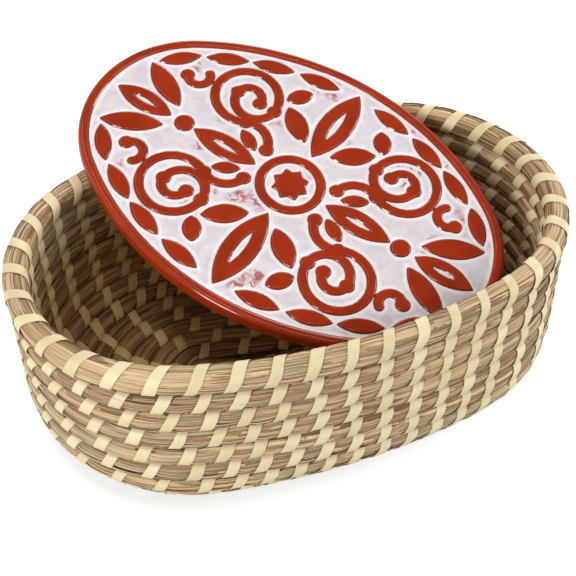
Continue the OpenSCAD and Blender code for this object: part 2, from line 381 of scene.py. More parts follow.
def mesh_object(
    name: str, points: Array, edges: Array | None = None, faces: list | None = None, **values: Array
) -> Object:
    """Makes a mesh object in the scene.

    Args:
        name: the object's name.
        points: one row of x, y, z per vertex, in metres.
        edges: pairs of vertex numbers.
        faces: rows of vertex numbers.
        values: named numbers or vectors, one per vertex.

    Returns:
        The linked object.
    """
    mesh = bpy.data.meshes.new(name)
    mesh.from_pydata(points.tolist(), [] if edges is None else edges.tolist(), [] if faces is None else faces)
    for key, value in values.items():
        vector = value.ndim == 2
        attribute = mesh.attributes.new(key, "FLOAT_VECTOR" if vector else "FLOAT", "POINT")
        attribute.data.foreach_set("vector" if vector else "value", value.astype(np.float32).ravel())
    made = bpy.data.objects.new(name, mesh)
    bpy.context.scene.collection.objects.link(made)
    return made


def bake_nodes(guide: Object, tree: bpy.types.NodeTree, inputs: dict[str, object]) -> Object:
    """Runs a geometry tree on a guide and keeps the result as a plain mesh.

    Args:
        guide: the object that holds the guide lines.
        tree: the geometry tree.
        inputs: values for the tree's named inputs.

    Returns:
        The same object with the made mesh and no modifier.
    """
    modifier = guide.modifiers.new(tree.name, "NODES")
    modifier.node_group = tree
    for item in tree.interface.items_tree:
        if item.item_type == "SOCKET" and item.in_out == "INPUT" and item.name in inputs:
            modifier[item.identifier] = inputs[item.name]
    depsgraph = bpy.context.evaluated_depsgraph_get()
    ready = guide.evaluated_get(depsgraph)
    made = bpy.data.meshes.new_from_object(ready, preserve_all_data_layers=True, depsgraph=depsgraph)
    guide.modifiers.clear()
    old = guide.data
    made.name = old.name
    guide.data = made
    bpy.data.meshes.remove(old)
    return guide


def hand_over(piece: Object, body: Body, nodes: tuple[str, ...]) -> None:
    """Fixes a piece to its body and hides the CAD nodes that it stands for.

    Args:
        piece: the finished piece.
        body: the body that it rides on.
        nodes: the CAD nodes that it replaces.
    """
    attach(piece, body.value)
    if nodes:
        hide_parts(*nodes)
    log.info("%s: %d vertices, %d faces", piece.name, len(piece.data.vertices), len(piece.data.polygons))


@dataclass(frozen=True)
class CoilPath:
    """The line that the grass bundle follows from its folded core to its tail.

    Lengths are in metres. A step is the way from one stitch of the rim to the next, and step 0 is at the
    middle of the back.
    """

    core_l: float = 0.105
    bundle_r: float = 0.005
    rim_r: float = 0.0062
    pitch: float = 0.0122
    rim_pitch: float = 0.0134
    corner_r: float = 0.0285
    wall_lean: float = 2.3
    end_flat: float = 0.010
    base_z: float = 0.00362
    base_rounds: int = 6
    rounds: int = 15
    end_steps: int = 11
    side_steps: int = 10
    taper: float = 0.64
    facet: float = 22.5

    @property
    def round_steps(self) -> int:
        """Steps of one round."""
        return 2 * (self.end_steps + self.side_steps)

    @property
    def climb_steps(self) -> int:
        """Steps in which the coil climbs to the next round."""
        return self.side_steps // 2

    @property
    def first(self) -> float:
        """Step at which the tapered head begins."""
        return self.climb_steps * (1 - self.taper)

    @property
    def wall_start(self) -> int:
        """Step at which the wall begins."""
        return self.base_rounds * self.round_steps

    @property
    def rim_start(self) -> int:
        """Step at which the rim begins."""
        return (self.rounds - 1) * self.round_steps

    @property
    def end(self) -> int:
        """Step at which the tail begins to thin."""
        return self.rounds * self.round_steps

    @property
    def last(self) -> float:
        """Step at which the tail ends."""
        return self.end + self.climb_steps * self.taper

    @property
    def steep(self) -> float:
        """Angle of the wall's section where it stands, in radians."""
        return math.radians(90 + self.wall_lean)

    def run(self, level: Array) -> Array:
        """Way from the edge of the flat base to a round, along the section of the wall."""
        wall = (np.minimum(level, self.rounds - 2) - self.base_rounds + 1) * self.pitch
        return wall + np.maximum(level - (self.rounds - 2), 0) * self.rim_pitch

    def turn(self, level: Array) -> Array:
        """Angle of the wall's section at a round: 0 lies flat, a quarter turn stands."""
        return np.clip(self.run(level) / self.corner_r, 0, self.steep)

    def section(self, level: Array) -> tuple[Array, Array]:
        """Places a round in the section of the basket.

        Args:
            level: numbers of rounds.

        Returns:
            Half width and height of each round.
        """
        turn = self.turn(level)
        past = np.maximum(self.run(level) - self.corner_r * self.steep, 0)
        out = self.corner_r * np.sin(turn) + past * math.cos(self.steep)
        up = self.corner_r * (1 - np.cos(turn)) + past * math.sin(self.steep)
        flat = self.pitch / 2 + np.minimum(level, self.base_rounds - 1) * self.pitch
        return flat + out, self.base_z + up

    def climb(self, step: Array) -> Array:
        """Share of the change to the next round that is done."""
        return np.minimum(1, (step % self.round_steps) / self.climb_steps)

    def head(self, step: Array) -> Array:
        """Share of the head that is still to come."""
        return np.maximum(0, 1 - step / self.climb_steps)

    def level(self, step: Array) -> Array:
        """Numbers the rounds, with the part of a round while the coil climbs.

        Args:
            step: places along the coil, in steps.

        Returns:
            The number of the round at each place.
        """
        wound = np.floor(step / self.round_steps) - 1 + self.climb(step)
        above = np.where(step > self.end, self.rounds - 1.0, wound)
        return np.where(step < self.round_steps, -self.head(step) / 2, above)

    def radius(self, step: Array) -> Array:
        """Finds the radius of the bundle.

        Args:
            step: places along the coil, in steps.

        Returns:
            The radius at each place.
        """
        tail = np.maximum(0, step - self.end) / self.climb_steps
        low = self.bundle_r - self.head(step) * self.pitch / 2
        rim = self.bundle_r + (self.rim_r - self.bundle_r) * self.climb(step)
        thin = self.rim_r - tail * (self.rim_pitch + self.rim_r - self.bundle_r) / 2
        return np.where(step < self.rim_start, low, np.where(step < self.end, rim, thin))

    def fullness(self, step: Array) -> Array:
        """Share of the bundle's full size, less at the head, at the start of the rim and at the tail."""
        radius = self.radius(step)
        return np.where(step < self.rim_start, radius / self.bundle_r, np.minimum(radius / self.rim_r, 1))

    def points(self, step: Array) -> Array:
        """Finds the middle of the bundle on the four arcs of its round.

        Args:
            step: places along the coil, in steps.

        Returns:
            One row of x, y, z for each place.
        """
        level = self.level(step)
        half, height = self.section(level)
        small = half - self.end_flat * (level + 1) / self.rounds
        reach = half + self.core_l / 2 - small
        big = (reach**2 + half**2 - small**2) / (2 * (half - small))
        drop = big - half
        joint = np.degrees(np.arctan2(drop, reach))
        half_side, end = self.side_steps / 2, self.end_steps
        knots = np.cumsum([0, half_side, end, self.side_steps, end, half_side])
        even = 0 * joint
        turns = [90 + even, 180 - joint, 180 + joint, 360 - joint, 360 + joint, 450 + even]
        turns = np.stack(turns, -1)
        part = step % self.round_steps
        k = np.clip(np.searchsorted(knots, part, "right") - 1, 0, 4)
        share = (part - knots[k]) / (knots[k + 1] - knots[k])
        row = np.arange(len(step))
        angle = np.radians(turns[row, k] + share * (turns[row, k + 1] - turns[row, k]))
        x, y = np.cos(angle), np.sin(angle)
        side = np.abs(y) > np.sin(np.radians(joint))
        flat_x = np.where(side, big * x, small * x + np.sign(x) * reach)
        flat_y = np.where(side, big * y - np.sign(y) * drop, small * y)
        thin = self.radius(step)
        sunk = (self.bundle_r - thin) * math.cos(math.radians(self.facet))
        lower = np.where(step < self.climb_steps, sunk, 0)
        raised = np.where(step > self.end, self.rim_r - thin, 0)
        return np.stack([flat_x, flat_y, height - lower + raised], -1)


@dataclass(frozen=True)
class Section:
    """Squarish outline of the bundle: half size across the rows and half size to its face."""

    half_row: float = 6.0 * MM
    half_face: float = 5.5 * MM
    power: float = 2.5

    def at(self, angle: Array) -> tuple[Array, Array, Array, Array]:
        """Finds places on the outline.

        Args:
            angle: places round the bundle, in radians.

        Returns:
            The place and the direction out of the outline, each as a row part and a face part.
        """
        c, s = np.cos(angle), np.sin(angle)
        bent = 2 / self.power
        row = self.half_row * np.sign(c) * np.abs(c) ** bent
        face = self.half_face * np.sign(s) * np.abs(s) ** bent
        out_row = np.sign(c) * np.abs(c) ** (2 - bent) / self.half_row
        out_face = np.sign(s) * np.abs(s) ** (2 - bent) / self.half_face
        size = np.hypot(out_row, out_face)
        return row, face, out_row / size, out_face / size

    def way(self, angle: Array, fine: int = 721) -> Array:
        """Measures the way round the outline from the middle of its outer face, over the top.

        Args:
            angle: where the way ends, in radians.
            fine: number of points that the outline is measured with.

        Returns:
            The way to each angle.
        """
        turns = np.linspace(-math.pi, math.pi, fine)
        row, face, _, _ = self.at(turns)
        passed = np.concatenate([[0.0], np.cumsum(np.hypot(np.diff(row), np.diff(face)))])
        start = np.interp(math.pi / 2, turns, passed)
        return start - np.interp((angle + math.pi) % FULL_TURN - math.pi, turns, passed)


@dataclass
class CoilRun:
    """The coil measured along its length."""

    path: CoilPath
    fine: float = 0.05
    smooth: int = 13
    facing_in: float = 1.6
    # the painted inside shade and bounce light fade out over these rounds below the rim
    inside_shade_level: float = 13.5
    inside_shade_rounds: float = 5.0
    least_inner: float = 0.2
    steps: Array = field(init=False)
    lengths: Array = field(init=False)
    middles: Array = field(init=False)
    tangents: Array = field(init=False)

    def __post_init__(self) -> None:
        """Walks the path once in small steps."""
        self.steps = np.arange(self.path.first, self.path.last + self.fine / 2, self.fine)
        plain = self.path.points(self.steps)
        apart = np.linalg.norm(np.diff(plain, axis=0), axis=1)
        self.lengths = np.concatenate([[0.0], np.cumsum(apart)])
        window = np.ones(self.smooth) / self.smooth
        room = (self.smooth // 2, self.smooth // 2)
        padded = np.pad(plain, (room, (0, 0)), "reflect", reflect_type="odd")
        self.middles = np.stack([np.convolve(column, window, "valid") for column in padded.T], -1)
        self.tangents = np.gradient(self.middles, axis=0)
        self.tangents /= np.linalg.norm(self.tangents, axis=1)[:, None]

    def step_at(self, length: Array) -> Array:
        """Step at a length along the coil."""
        return np.interp(length, self.lengths, self.steps)

    def length_at(self, step: Array | float) -> Array:
        """Length along the coil at a step."""
        return np.interp(step, self.steps, self.lengths)

    def inner(self, length: Array, angle: Array) -> Array:
        """Finds how far places on the bundle look into the basket, less near the rim: the mask of the painted
        shade and warm bounce light inside the basket.

        Args:
            length: places along the coil.
            angle: places round the bundle.

        Returns:
            The share at each place, from 0 to 1.
        """
        level = self.path.level(self.step_at(length))
        low = np.clip((self.inside_shade_level - level) / self.inside_shade_rounds, self.least_inner, 1)
        return np.clip(-self.facing_in * np.sin(angle), 0, 1) * low

    def picked(self, table: Array, length: Array) -> Array:
        """Rows of a table along the coil, at given lengths."""
        return np.stack([np.interp(length, self.lengths, column) for column in table.T], -1)

    def frames(self, length: Array) -> tuple[Array, Array, Array, Array]:
        """Finds how the bundle lies.

        Args:
            length: places along the coil.

        Returns:
            Middle, direction, row direction and outer face direction of the bundle.
        """
        middle, along = self.picked(self.middles, length), self.picked(self.tangents, length)
        along /= np.linalg.norm(along, axis=1)[:, None]
        out = np.cross(along, [0.0, 0.0, 1.0])
        out /= np.linalg.norm(out, axis=1)[:, None]
        up = np.cross(out, along)
        turn = self.path.turn(self.path.level(self.step_at(length)))[:, None]
        row = out * np.cos(turn) + up * np.sin(turn)
        face = out * np.sin(turn) - up * np.cos(turn)
        return middle, along, row, face

    def on_bundle(
        self, length: Array, angle: Array, section: Section, grow: Growth = (1.0, 1.0)
    ) -> tuple[Array, Array, Array]:
        """Finds places on the face of the bundle.

        Args:
            length: places along the coil.
            angle: places round the bundle.
            section: the bundle's outline.
            grow: growth of the outline across the rows and to its face.

        Returns:
            The points, the directions out of the bundle and those along it.
        """
        middle, along, row, face = self.frames(length)
        at_row, at_face, out_row, out_face = section.at(angle)
        points = middle + row * (at_row * grow[0])[:, None] + face * (at_face * grow[1])[:, None]
        return points, row * out_row[:, None] + face * out_face[:, None], along


@dataclass
class Stitching:
    """Places of all the stitches along the coil, in metres of length."""

    coil: CoilRun
    base_apart: float = 0.024
    wall_count: int = 337
    wall_drift: float = 0.4
    wall_slant: float = 24.0
    base_slant: float = 15.0
    hold: float = 4.9 * MM
    base: Array = field(init=False)
    wall: Array = field(init=False)
    rim: Array = field(init=False)

    def __post_init__(self) -> None:
        """Spaces the stitches of base, wall and rim, those of the wall counted down from the rim."""
        path = self.coil.path
        start = float(self.coil.length_at(path.climb_steps))
        stop = float(self.coil.length_at(path.wall_start))
        self.base = np.arange(start + self.base_apart, stop, self.base_apart)
        span = path.rim_start - path.wall_start
        below = np.arange(self.wall_count, 0, -1) - 0.5
        self.wall = self.coil.length_at(path.rim_start - below * span / (span + self.wall_drift))
        self.rim = self.coil.length_at(np.arange(path.rim_start, path.end) + 0.5)

    def lean(self, length: Array, angle: Array) -> Array:
        """Finds how far along the coil a strip has come, as it winds on like a screw.

        Args:
            length: places along the coil.
            angle: places round the bundle.

        Returns:
            The way along the coil at each place.
        """
        wall = length > self.coil.length_at(self.coil.path.wall_start)
        slant = np.where(wall, self.wall_slant, self.base_slant)
        return np.tan(np.radians(slant)) * Section().way(angle)

    def pull(self, length: Array, angle: Array) -> Array:
        """Finds how hard the nearest stitch pulls the bundle in.

        Args:
            length: places along the coil.
            angle: places round the bundle.

        Returns:
            The pull at each place, from 0 to 1.
        """
        every = np.concatenate([self.base, self.wall, self.rim])
        at = length - self.lean(length, angle)
        k = np.clip(np.searchsorted(every, at), 1, len(every) - 1)
        near = np.minimum(np.abs(at - every[k - 1]), np.abs(at - every[k]))
        return np.exp(-((near / self.hold) ** 6))


def blade_tree(name: str, finish: Material, crease: float = 0.9) -> bpy.types.NodeTree:
    """Geometry tree that sweeps a flat profile along guide lines.

    Args:
        name: the tree's name.
        finish: the material of the swept mesh.
        crease: the angle in radians above which an edge stays sharp.

    Returns:
        A tree with the inputs Flatness and Sides.
    """
    tree = bpy.data.node_groups.new(name, "GeometryNodeTree")
    for key, kind in (("Geometry", "Geometry"), ("Flatness", "Float"), ("Sides", "Int")):
        tree.interface.new_socket(key, in_out="INPUT", socket_type="NodeSocket" + kind)
    tree.interface.new_socket("Geometry", in_out="OUTPUT", socket_type="NodeSocketGeometry")
    graph = Graph(tree)
    start = graph.add("NodeGroupInput").outputs

    def named(key: str, kind: str = "FLOAT") -> Socket:
        """Reads a value of the guide lines."""
        return graph.add("GeometryNodeInputNamedAttribute", {"Name": key}, data_type=kind).outputs[0]

    def stored(shape: Socket, key: str, value: Socket, kind: str) -> Socket:
        """Keeps a value on the points of a shape."""
        inputs = {"Geometry": shape, "Name": key, "Value": value}
        return graph.add("GeometryNodeStoreNamedAttribute", inputs, data_type=kind, domain="POINT").outputs[0]

    lines = graph.add("GeometryNodeMeshToCurve", {"Mesh": start["Geometry"]})
    facing = {"Curve": lines.outputs[0], "Normal": named("facing", "FLOAT_VECTOR")}
    turned = graph.add("GeometryNodeSetCurveNormal", facing, mode="FREE")
    ring = graph.add("GeometryNodeCurvePrimitiveCircle", {"Resolution": start["Sides"], "Radius": 1.0})
    thin = graph.add("ShaderNodeCombineXYZ", {"X": start["Flatness"], "Y": 1.0, "Z": 1.0})
    profile = graph.add("GeometryNodeTransform", {"Geometry": ring.outputs[0], "Scale": thin.outputs[0]})
    spot = graph.add("ShaderNodeSeparateXYZ", {0: graph.add("GeometryNodeInputPosition").outputs[0]})
    swept = graph.add("GeometryNodeCurveToMesh", {
        "Curve": turned.outputs[0],
        "Profile Curve": stored(profile.outputs[0], "side", spot.outputs[1], "FLOAT"),
        "Scale": named("girth"),
        "Fill Caps": True,
    })
    grain = graph.add("ShaderNodeCombineXYZ", {"X": named("run"), "Y": named("side"), "Z": named("shade")})
    kept = stored(swept.outputs[0], "grain", grain.outputs[0], "FLOAT_VECTOR")
    whole = graph.add("GeometryNodeRealizeInstances", {0: kept})
    smooth = graph.add("GeometryNodeSetShadeSmooth", {0: whole.outputs[0]}, domain="FACE")
    bend = graph.add("GeometryNodeInputMeshEdgeAngle").outputs["Unsigned Angle"]
    sharper = {"A": bend, "B": crease}
    edge = graph.add("FunctionNodeCompare", sharper, data_type="FLOAT", operation="GREATER_THAN")
    sharp = {0: smooth.outputs[0], "Selection": edge.outputs[0], "Shade Smooth": False}
    crisp = graph.add("GeometryNodeSetShadeSmooth", sharp, domain="EDGE")
    dressed = graph.add("GeometryNodeSetMaterial", {"Geometry": crisp.outputs[0], "Material": finish})
    graph.add("NodeGroupOutput", {0: dressed.outputs[0]})
    return tree


class Lines:
    """Guide lines that are gathered and then made into one mesh of edges."""

    def __init__(self) -> None:
        """Starts with no lines."""
        self.rows: list[dict[str, Array]] = []

    def add(
        self, points: Array, facing: Array, girth: Array, run: Array, shade: float, inner: Array | None = None
    ) -> None:
        """Adds one line.

        Args:
            points: its points.
            facing: the direction of its flat side at each point.
            girth: half its width at each point.
            run: the way along it to each point.
            shade: the number that picks its colour.
            inner: share to which each point looks into the basket, the mask of the painted inside shade and
                bounce light.
        """
        even = {"shade": np.full(len(run), shade), "inner": np.zeros(len(run)) if inner is None else inner}
        self.rows.append({"points": points, "facing": facing, "girth": girth, "run": run, **even})

    def sweep(self, name: str, tree: bpy.types.NodeTree, flatness: float, sides: int) -> Object:
        """Makes the lines into one swept mesh, flat where it rests on the floor.

        Args:
            name: the piece's name.
            tree: the tree that sweeps it.
            flatness: thickness of the profile against its width.
            sides: number of sides of the profile.

        Returns:
            The piece.
        """
        joined = {key: np.concatenate([row[key] for row in self.rows]) for key in self.rows[0]}
        edges, first = [], 0
        for row in self.rows:
            ids = np.arange(first, first + len(row["run"]))
            edges.append(np.stack([ids[:-1], ids[1:]], -1))
            first += len(ids)
        guide = mesh_object(name, joined.pop("points"), np.concatenate(edges), **joined)
        made = bake_nodes(guide, tree, {"Flatness": flatness, "Sides": sides})
        spots = np.empty(3 * len(made.data.vertices), np.float32)
        made.data.vertices.foreach_get("co", spots)
        spots[2::3] = np.maximum(spots[2::3], 0.0)
        made.data.vertices.foreach_set("co", spots)
        made.data.update()
        return made


def waves(length: Array, scale: Pair, rng: Random) -> Array:
    """A wave along the coil, of a scale drawn from a range and any phase."""
    return np.sin(length / rng.uniform(*scale) + rng.uniform(0, ANY_PHASE))


@dataclass
class GrassCoil:
    """The seagrass bundle: flat blades laid side by side round a dark core, whose colour is painted shade,
    pulled in at each stitch.

    A half size of the bundle has three numbers in millimetres: its size in the wall, its change in the flat
    base and its change on the rim. Pairs of depths and of half widths, the cores and the seam of the fold are
    in millimetres too, other lengths in metres. A pair is the range that a random number is drawn from.
    """

    coil: CoilRun
    stitching: Stitching
    free_row: Place = (6.1, 0.0, 0.65)
    free_face: Place = (5.6, -1.0, 0.85)
    held_row: Place = (5.6, -0.05, 0.75)
    held_face: Place = (5.1, -0.9, 1.0)
    blades: int = 16
    blade_half: float = 1.8 * MM
    blade_spread: Pair = (0.75, 1.3)
    blade_shift: Pair = (-0.3, 0.3)
    blade_deep: Pair = (0.0, 0.55)
    blade_sides: int = 4
    shortest: float = 0.20
    longest: float = 0.55
    overlap: float = 0.012
    fibres: int = 420
    fibre_half: Pair = (0.4, 0.95)
    fibre_deep: Pair = (-0.1, 0.25)
    fibre_l: Pair = (0.05, 0.22)
    least_l: float = 0.03
    tuck_l: float = 0.018
    tuck_deep: float = 1.1
    tip: float = 0.4
    most_grown: float = 1.2
    ripple: float = 0.16
    ripple_l: Pair = (0.008, 0.02)
    sway: Pair = (0.03, 0.1)
    sway_l: Pair = (0.012, 0.04)
    shades: Pair = (0.02, 0.98)
    flatness: float = 0.2
    sample: float = 2.6 * MM
    least_points: int = 8
    twist: float = 0.55
    strays: int = 40
    stray_points: int = 14
    stray_room: float = 0.05
    stray_l: Pair = (0.012, 0.03)
    stray_angle: Pair = (-0.4, 2.6)
    stray_turn: Pair = (-0.5, 0.5)
    stray_off: Pair = (0.6, 2.6)
    stray_sunk: float = 0.2
    stray_half: Pair = (0.16, 0.3)
    stray_shades: Pair = (0.3, 0.75)
    wall_parts: int = 4
    cores: tuple[tuple[str, float, float], ...] = (
        ("base_core", 6.45, 0.5), ("wall_core", 6.45, 0.72), ("rim_core", 5.5, 0.95),
    )
    core_sides: int = 10
    core_sample: float = 0.006
    core_lift: float = 0.2 * MM
    seam_start: Place = (6.0, 0.0, 3.2)
    seam_way: Place = (-34.0, 2.4, 0.0)
    seam_half: Pair = (1.6, 1.2)
    seam_points: int = 12
    rim_seam_low: float = 6.7 * MM
    rim_seam_half: float = 2.0 * MM
    seed: int = 41
    ends: list[float] = field(init=False)
    groups: dict[str, Lines] = field(init=False)

    def __post_init__(self) -> None:
        """Parts the coil into base, lengths of the wall, and rim."""
        path = self.coil.path
        span = (path.rim_start - path.wall_start) / self.wall_parts
        edges = [path.wall_start + k * span for k in range(self.wall_parts + 1)]
        self.ends = [float(self.coil.length_at(step)) for step in edges] + [math.inf]
        walls = [f"wall_grass_{k + 1}" for k in range(self.wall_parts)]
        self.groups = {name: Lines() for name in ("base_grass", *walls, "rim_grass")}

    def group(self, length: float) -> Lines:
        """The lines of the part of the coil that holds a length."""
        return next(lines for lines, end in zip(self.groups.values(), self.ends) if length < end)

    def sizes(self, length: Array, angle: Array) -> tuple[Array, Array]:
        """Growth of the bundle across the rows and to its face, against the plain section.

        Args:
            length: places along the coil.
            angle: places round the bundle.

        Returns:
            Growth across the rows and growth to the face.
        """
        path, plain = self.coil.path, Section()
        step = self.coil.step_at(length)
        thin = path.fullness(step)
        flat = np.clip((path.base_rounds + 1 - path.level(step)) / 2, 0, 1)
        rim = np.clip((step - path.rim_start) / path.climb_steps, 0, 1)
        pull = self.stitching.pull(length, angle)

        def grown(free: Place, held: Place, half: float) -> Array:
            """Growth between the free and the held size, by the pull."""
            loose, tight = (wall + base * flat + top * rim for wall, base, top in (free, held))
            return thin * (loose + (tight - loose) * pull) * MM / half

        row = grown(self.free_row, self.held_row, plain.half_row)
        return row, grown(self.free_face, self.held_face, plain.half_face)

    def strands(self) -> list[Strand]:
        """Draws every blade and fibre from a fixed seed.

        Returns:
            Start, end, angle and half width of each.
        """
        rng = np.random.default_rng(self.seed)
        total = float(self.coil.lengths[-1])
        found = []
        for place in range(self.blades):
            at = -float(rng.uniform(0, self.longest))
            while at < total:
                size = float(rng.uniform(self.shortest, self.longest))
                angle = FULL_TURN * (place + float(rng.uniform(*self.blade_shift))) / self.blades
                half = self.blade_half * float(rng.uniform(*self.blade_spread))
                found.append((max(at - self.overlap, 0.0), min(at + size + self.overlap, total), angle, half))
                at += size
        for start in rng.uniform(0, total, self.fibres):
            stop = min(start + float(rng.uniform(*self.fibre_l)), total)
            angle = float(rng.uniform(0, FULL_TURN))
            found.append((float(start), stop, angle, float(rng.uniform(*self.fibre_half)) * MM))
        return [row for row in found if row[1] - row[0] > self.least_l]

    def blade(self, start: float, stop: float, angle: float, half: float, rng: Random) -> None:
        """Lays one blade or fibre along the bundle, with its ends tucked in.

        Args:
            start: where it begins along the coil.
            stop: where it ends.
            angle: its place round the bundle.
            half: half its width.
            rng: what its lay is drawn from.
        """
        length = np.linspace(start, stop, max(self.least_points, int((stop - start) / self.sample)))
        wave = sum(rng.uniform(*self.sway) * waves(length, self.sway_l, rng) for _ in range(2))
        around = angle + self.twist * FULL_TURN * length + wave
        grow = self.sizes(length, around)
        points, facing, _ = self.coil.on_bundle(length, around, Section(), grow)
        tuck = np.clip(np.minimum(length - start, stop - length) / self.tuck_l, 0, 1) ** 0.5
        girth = half * (self.tip + (1 - self.tip) * tuck) * np.minimum(grow[0], self.most_grown)
        fibre = half < self.fibre_half[1] * MM
        deep = rng.uniform(*(self.fibre_deep if fibre else self.blade_deep))
        deep = deep + self.ripple * waves(length, self.ripple_l, rng) + self.tuck_deep * (1 - tuck)
        points -= facing * (deep * MM + girth * self.flatness)[:, None]
        floor = girth * np.sqrt(1 - (1 - self.flatness**2) * facing[:, 2] ** 2)
        points[:, 2] = np.maximum(points[:, 2], floor)
        shade = float(rng.uniform(*self.shades))
        # mask of the painted shade and warm bounce light inside the basket
        inner = self.coil.inner(length, around)
        self.group((start + stop) / 2).add(points, facing, girth, length - start, shade, inner)

    def stray(self, rng: Random) -> None:
        """Adds one thin fibre whose end stands off the outer face of the wall or the rim.

        Args:
            rng: what its lay is drawn from.
        """
        start = float(rng.uniform(self.ends[1], self.coil.lengths[-1] - self.stray_room))
        length = start + np.linspace(0, float(rng.uniform(*self.stray_l)), self.stray_points)
        share = np.linspace(0, 1, self.stray_points)
        around = float(rng.uniform(*self.stray_angle)) + float(rng.uniform(*self.stray_turn)) * share
        grow = self.sizes(length, around)
        points, facing, _ = self.coil.on_bundle(length, around, Section(), grow)
        off = (float(rng.uniform(*self.stray_off)) * share**2 - self.stray_sunk) * MM
        girth = float(rng.uniform(*self.stray_half)) * MM * (1.1 - share)
        shade = float(rng.uniform(*self.stray_shades))
        self.group(start).add(points + facing * off[:, None], facing, girth, length - start, shade)

    def build(self, finish: Material, core: Material) -> None:
        """Builds the blades and the core of base, wall and rim.

        Args:
            finish: the material of the blades.
            core: the material of the filling.
        """
        rng = np.random.default_rng(self.seed + 1)
        for strand in self.strands():
            self.blade(*strand, rng)
        for _ in range(self.strays):
            self.stray(rng)
        tree = blade_tree("sweep_blades", finish)
        for name, lines in self.groups.items():
            node = name.split("_")[0] + "_coil"
            piece = lines.sweep(name, tree, self.flatness, self.blade_sides)
            hand_over(piece, Body.BASKET, (node,))
        self.build_core(core)

    def build_core(self, core: Material) -> None:
        """Builds the dark filling that shows in the gaps between blades and closes the seams between rounds;
        its dark colour is painted shade.

        Args:
            core: the material of the filling.
        """
        tree = blade_tree("sweep_core", core)
        ends = (0.0, self.ends[0], self.ends[self.wall_parts], float(self.coil.lengths[-1]))
        for (name, half, flatness), start, stop in zip(self.cores, ends[:-1], ends[1:]):
            length = np.linspace(start, stop, int((stop - start) / self.core_sample))
            centre, _, row, face = self.coil.frames(length)
            thin = self.coil.path.fullness(self.coil.step_at(length))
            girth = half * MM * thin
            centre[:, 2] = np.maximum(centre[:, 2], girth * flatness + self.core_lift)
            lines = Lines()
            lines.add(centre, face, girth, length, 0.0)
            if name == "base_core":
                self.fold_seam(lines)
            if name == "rim_core":
                # a dark strip of painted shade that closes the seam below the rim
                low = centre - row * (self.rim_seam_low * thin)[:, None]
                lines.add(low, face, self.rim_seam_half * thin, length, 0.0)
            piece = lines.sweep(name, tree, flatness, self.core_sides)
            hand_over(piece, Body.BASKET, ())

    def fold_seam(self, lines: Lines) -> None:
        """Adds the filling of the seam at the folded start of the coil.

        Args:
            lines: the lines of the base's filling.
        """
        share = np.linspace(0, 1, self.seam_points)
        seam = (np.array(self.seam_start) + share[:, None] * np.array(self.seam_way)) * MM
        up = np.tile([0.0, 0.0, 1.0], (self.seam_points, 1))
        girth = (self.seam_half[0] + self.seam_half[1] * share) * MM
        lines.add(seam, up, girth, -share * self.seam_way[0] * MM, 0.0)


@dataclass
class LeafStitches:
    """The leaf strips that bind each round to the one below it."""

    coil: CoilRun
    stitching: Stitching
    width: float = 5.8 * MM
    spread: Pair = (0.92, 1.08)
    thickness: float = 0.4 * MM
    base_section: Section = Section(5.85 * MM, 4.5 * MM)
    wall_section: Section = Section(5.9 * MM, 5.45 * MM)
    rim_section: Section = Section(6.6 * MM, 6.4 * MM)
    points: int = 22
    sides: int = 8
    reach: float = 2.95
    waver: float = 0.25 * MM
    swell: float = 0.05
    seed: int = 7

    def strip(self, lines: Lines, at: float, section: Section, rng: Random) -> None:
        """Adds one strip that comes up the outer face, over the bundle and down its inner face.

        Args:
            lines: where it is added.
            at: its place along the coil.
            section: the outline that it lies on.
            rng: what its small differences are drawn from.
        """
        angle = np.linspace(self.reach, -self.reach, self.points)
        length = at + self.stitching.lean(np.full(self.points, at), angle)
        points, facing, along = self.coil.on_bundle(length, angle, section)
        waver = self.waver * np.sin(2 * angle + rng.uniform(0, ANY_PHASE))
        points += along * waver[:, None]
        half = self.width / 2 * rng.uniform(*self.spread)
        girth = half * (1 + self.swell * np.sin(angle + rng.uniform(0, ANY_PHASE)))
        points[:, 2] = np.maximum(points[:, 2], self.thickness)
        # the strip's inner mask paints warm bounce light inside the basket
        lines.add(points, facing, girth, angle, float(rng.uniform(0, 1)), self.coil.inner(length, angle))

    def build(self, finish: Material) -> None:
        """Sets the strips of base, wall and rim.

        Args:
            finish: the material of the strips.
        """
        rng = np.random.default_rng(self.seed)
        tree = blade_tree("sweep_strips", finish)
        path, places = self.coil.path, self.stitching
        base_nodes = tuple(f"base_stitches_{k + 1}" for k in range(path.base_rounds))
        wall_nodes = tuple(f"wall_stitches_{k + 1}" for k in range(path.rounds - path.base_rounds - 1))
        for name, lengths, section, nodes in (
            ("base_strips", places.base, self.base_section, base_nodes),
            ("wall_strips", places.wall, self.wall_section, wall_nodes),
            ("rim_strips", places.rim, self.rim_section, ("rim_stitches",)),
        ):
            lines = Lines()
            for at in lengths:
                self.strip(lines, float(at), section, rng)
            piece = lines.sweep(name, tree, self.thickness / self.width, self.sides)
            hand_over(piece, Body.BASKET, nodes)


